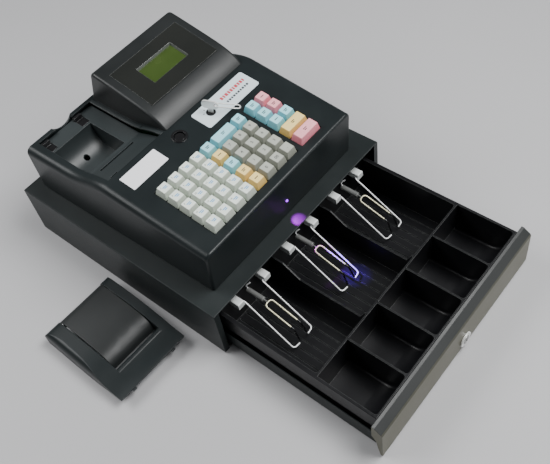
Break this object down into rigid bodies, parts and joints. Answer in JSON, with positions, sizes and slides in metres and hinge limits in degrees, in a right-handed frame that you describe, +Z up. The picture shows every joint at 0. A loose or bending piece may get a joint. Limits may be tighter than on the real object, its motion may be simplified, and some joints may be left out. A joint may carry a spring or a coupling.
{
  "type": "cash register",
  "caption": "Desktop cash register on a steel cash drawer that slides out, with sprung keys, a display hood, an open printer bay, bill clips, coin cups and a lifted-off printer cover.",
  "frame": {"origin": "centre of the drawer cabinet's footprint, on the table that its rubber feet stand on", "axes": "+Z up, +Y to the back, +X to the right of the operator, who stands at -Y"},
  "size_m": [0.456, 0.582, 0.2074],
  "materials": {
    "black_steel": "satin powder coat",
    "zinc_steel": "zinc plated",
    "rubber": "matt",
    "front_paint": "satin grey paint",
    "tray_plastic": "fine grain",
    "case_plastic": "fine grain",
    "hood_plastic": "fine grain",
    "gloss_panel": "polished",
    "display_glass": "liquid crystal glass",
    "chrome": "polished",
    "cast_metal": "die cast, satin",
    "spring_grey": "satin",
    "white_label": "smooth",
    "silver_plate": "satin",
    "black_plastic": "smooth",
    "nylon": "smooth",
    "board_green": "solder mask",
    "lamp_violet": "clear",
    "key_white": "satin",
    "key_mixed": "satin",
    "key_blue": "satin",
    "key_grey": "satin",
    "key_yellow": "satin",
    "key_pink": "satin"
  },
  "bodies": {
    "cabinet": {"cabinet_shell": "black_steel", "cabinet_base": "zinc_steel", "rubber_feet": "rubber", "slide_rails": "zinc_steel", "drawer_latch": "zinc_steel", "base_screws": "zinc_steel", "upper_case": "case_plastic", "lower_case": "black_plastic", "main_board": "board_green", "keyboard_board": "spring_grey", "button_ring": "black_plastic", "blank_label": "white_label", "lock_plate": "silver_plate", "mode_lock_barrel": "black_plastic", "display_hood": "hood_plastic", "display_panel": "gloss_panel", "lcd_module": "display_glass", "customer_window": "gloss_panel", "printer_bay": "case_plastic", "latch_clips": "black_plastic", "print_mechanism": "zinc_steel", "indicator_lamp": "lamp_violet", "power_jack": "black_plastic"},
    "drawer": {"drawer_frame": "black_steel", "slide_rollers": "nylon", "drawer_front": "front_paint", "drawer_lock_barrel": "chrome", "cash_tray": "tray_plastic", "clip_blocks": "cast_metal"},
    "drawer_lock": {"drawer_lock_core": "chrome"},
    "clip_left": {"bill_bail_left": "chrome", "bill_spring_left": "spring_grey"},
    "clip_middle": {"bill_bail_middle": "chrome", "bill_spring_middle": "spring_grey"},
    "clip_right": {"bill_bail_right": "chrome", "bill_spring_right": "spring_grey"},
    "mode_lock": {"mode_lock_plug": "black_plastic", "mode_key": "chrome", "key_ring": "chrome"},
    "feed_button": {"push_button": "black_plastic"},
    "platen": {"platen_roller": "rubber"},
    "cover": {"printer_cover": "case_plastic"},
    "lid": {"paper_lid": "hood_plastic"},
    "department_bank": {"department_keys": "key_white"},
    "function_bank": {"function_keys": "key_mixed"},
    "clear": {"clear_key": "key_blue"},
    "subtotal": {"subtotal_key": "key_yellow"},
    "total": {"total_key": "key_pink"},
    "digit_7": {"key_7": "key_grey"},
    "digit_8": {"key_8": "key_grey"},
    "digit_9": {"key_9": "key_grey"},
    "digit_4": {"key_4": "key_grey"},
    "digit_5": {"key_5": "key_grey"},
    "digit_6": {"key_6": "key_grey"},
    "digit_1": {"key_1": "key_grey"},
    "digit_2": {"key_2": "key_grey"},
    "digit_3": {"key_3": "key_grey"},
    "digit_0": {"key_0": "key_grey"},
    "digit_00": {"key_00": "key_grey"},
    "digit_point": {"key_point": "key_grey"}
  },
  "joints": [
    {"name": "drawer_slide", "type": "slide", "parent": "cabinet", "child": "drawer", "axis": [0, -1, 0], "range_m": [-0.215, 0.02]},
    {"name": "drawer_lock_turn", "type": "hinge", "parent": "drawer", "child": "drawer_lock", "pos_m": [0.01, -0.405, 0.018], "axis": [0, -1, 0], "range_deg": [0, 90]},
    {"name": "clip_left_swing", "type": "hinge", "parent": "drawer", "child": "clip_left", "pos_m": [-0.0982, -0.172, 0.057], "axis": [-1, 0, 0], "range_deg": [0, 95], "stiffness_Nm_per_rad": 0.08, "springref_deg": -20.05},
    {"name": "clip_middle_swing", "type": "hinge", "parent": "drawer", "child": "clip_middle", "pos_m": [0, -0.172, 0.057], "axis": [-1, 0, 0], "range_deg": [0, 95], "stiffness_Nm_per_rad": 0.08, "springref_deg": -20.05},
    {"name": "clip_right_swing", "type": "hinge", "parent": "drawer", "child": "clip_right", "pos_m": [0.0982, -0.172, 0.057], "axis": [-1, 0, 0], "range_deg": [0, 95], "stiffness_Nm_per_rad": 0.08, "springref_deg": -20.05},
    {"name": "mode_key_turn", "type": "hinge", "parent": "cabinet", "child": "mode_lock", "pos_m": [0.0293, -0.0173, 0.16875], "axis": [0, -0.0993, 0.9951], "range_deg": [-45, 75]},
    {"name": "feed_press", "type": "slide", "parent": "cabinet", "child": "feed_button", "axis": [0, 0.0993, -0.9951], "range_m": [0, 0.003], "stiffness_N_per_m": 250, "springref_m": -0.002},
    {"name": "platen_spin", "type": "hinge", "parent": "cabinet", "child": "platen", "pos_m": [-0.083, 0.0466, 0.1434], "axis": [1, 0, 0], "continuous": true},
    {"name": "cover_lift", "type": "slide", "parent": "cabinet", "child": "cover", "axis": [0, 0, 1], "range_m": [0, 0.3]},
    {"name": "lid_swing", "type": "hinge", "parent": "cover", "child": "lid", "pos_m": [-0.22821, 0.01071, 0.019], "axis": [-0.9998, 0.0209, 0], "range_deg": [0, 75]},
    {"name": "department_press", "type": "slide", "parent": "cabinet", "child": "department_bank", "axis": [0, 0.0993, -0.9951], "range_m": [0, 0.003], "stiffness_N_per_m": 4000, "springref_m": -0.0015},
    {"name": "function_press", "type": "slide", "parent": "cabinet", "child": "function_bank", "axis": [0, 0.0993, -0.9951], "range_m": [0, 0.003], "stiffness_N_per_m": 2400, "springref_m": -0.0015},
    {"name": "clear_press", "type": "slide", "parent": "cabinet", "child": "clear", "axis": [0, 0.0993, -0.9951], "range_m": [0, 0.003], "stiffness_N_per_m": 400, "springref_m": -0.0015},
    {"name": "subtotal_press", "type": "slide", "parent": "cabinet", "child": "subtotal", "axis": [0, 0.0993, -0.9951], "range_m": [0, 0.003], "stiffness_N_per_m": 400, "springref_m": -0.0015},
    {"name": "total_press", "type": "slide", "parent": "cabinet", "child": "total", "axis": [0, 0.0993, -0.9951], "range_m": [0, 0.003], "stiffness_N_per_m": 400, "springref_m": -0.0015},
    {"name": "press_7", "type": "slide", "parent": "cabinet", "child": "digit_7", "axis": [0, 0.0993, -0.9951], "range_m": [0, 0.003], "stiffness_N_per_m": 200, "springref_m": -0.0015},
    {"name": "press_8", "type": "slide", "parent": "cabinet", "child": "digit_8", "axis": [0, 0.0993, -0.9951], "range_m": [0, 0.003], "stiffness_N_per_m": 200, "springref_m": -0.0015},
    {"name": "press_9", "type": "slide", "parent": "cabinet", "child": "digit_9", "axis": [0, 0.0993, -0.9951], "range_m": [0, 0.003], "stiffness_N_per_m": 200, "springref_m": -0.0015},
    {"name": "press_4", "type": "slide", "parent": "cabinet", "child": "digit_4", "axis": [0, 0.0993, -0.9951], "range_m": [0, 0.003], "stiffness_N_per_m": 200, "springref_m": -0.0015},
    {"name": "press_5", "type": "slide", "parent": "cabinet", "child": "digit_5", "axis": [0, 0.0993, -0.9951], "range_m": [0, 0.003], "stiffness_N_per_m": 200, "springref_m": -0.0015},
    {"name": "press_6", "type": "slide", "parent": "cabinet", "child": "digit_6", "axis": [0, 0.0993, -0.9951], "range_m": [0, 0.003], "stiffness_N_per_m": 200, "springref_m": -0.0015},
    {"name": "press_1", "type": "slide", "parent": "cabinet", "child": "digit_1", "axis": [0, 0.0993, -0.9951], "range_m": [0, 0.003], "stiffness_N_per_m": 200, "springref_m": -0.0015},
    {"name": "press_2", "type": "slide", "parent": "cabinet", "child": "digit_2", "axis": [0, 0.0993, -0.9951], "range_m": [0, 0.003], "stiffness_N_per_m": 200, "springref_m": -0.0015},
    {"name": "press_3", "type": "slide", "parent": "cabinet", "child": "digit_3", "axis": [0, 0.0993, -0.9951], "range_m": [0, 0.003], "stiffness_N_per_m": 200, "springref_m": -0.0015},
    {"name": "press_0", "type": "slide", "parent": "cabinet", "child": "digit_0", "axis": [0, 0.0993, -0.9951], "range_m": [0, 0.003], "stiffness_N_per_m": 200, "springref_m": -0.0015},
    {"name": "press_00", "type": "slide", "parent": "cabinet", "child": "digit_00", "axis": [0, 0.0993, -0.9951], "range_m": [0, 0.003], "stiffness_N_per_m": 200, "springref_m": -0.0015},
    {"name": "press_point", "type": "slide", "parent": "cabinet", "child": "digit_point", "axis": [0, 0.0993, -0.9951], "range_m": [0, 0.003], "stiffness_N_per_m": 200, "springref_m": -0.0015}
  ]
}
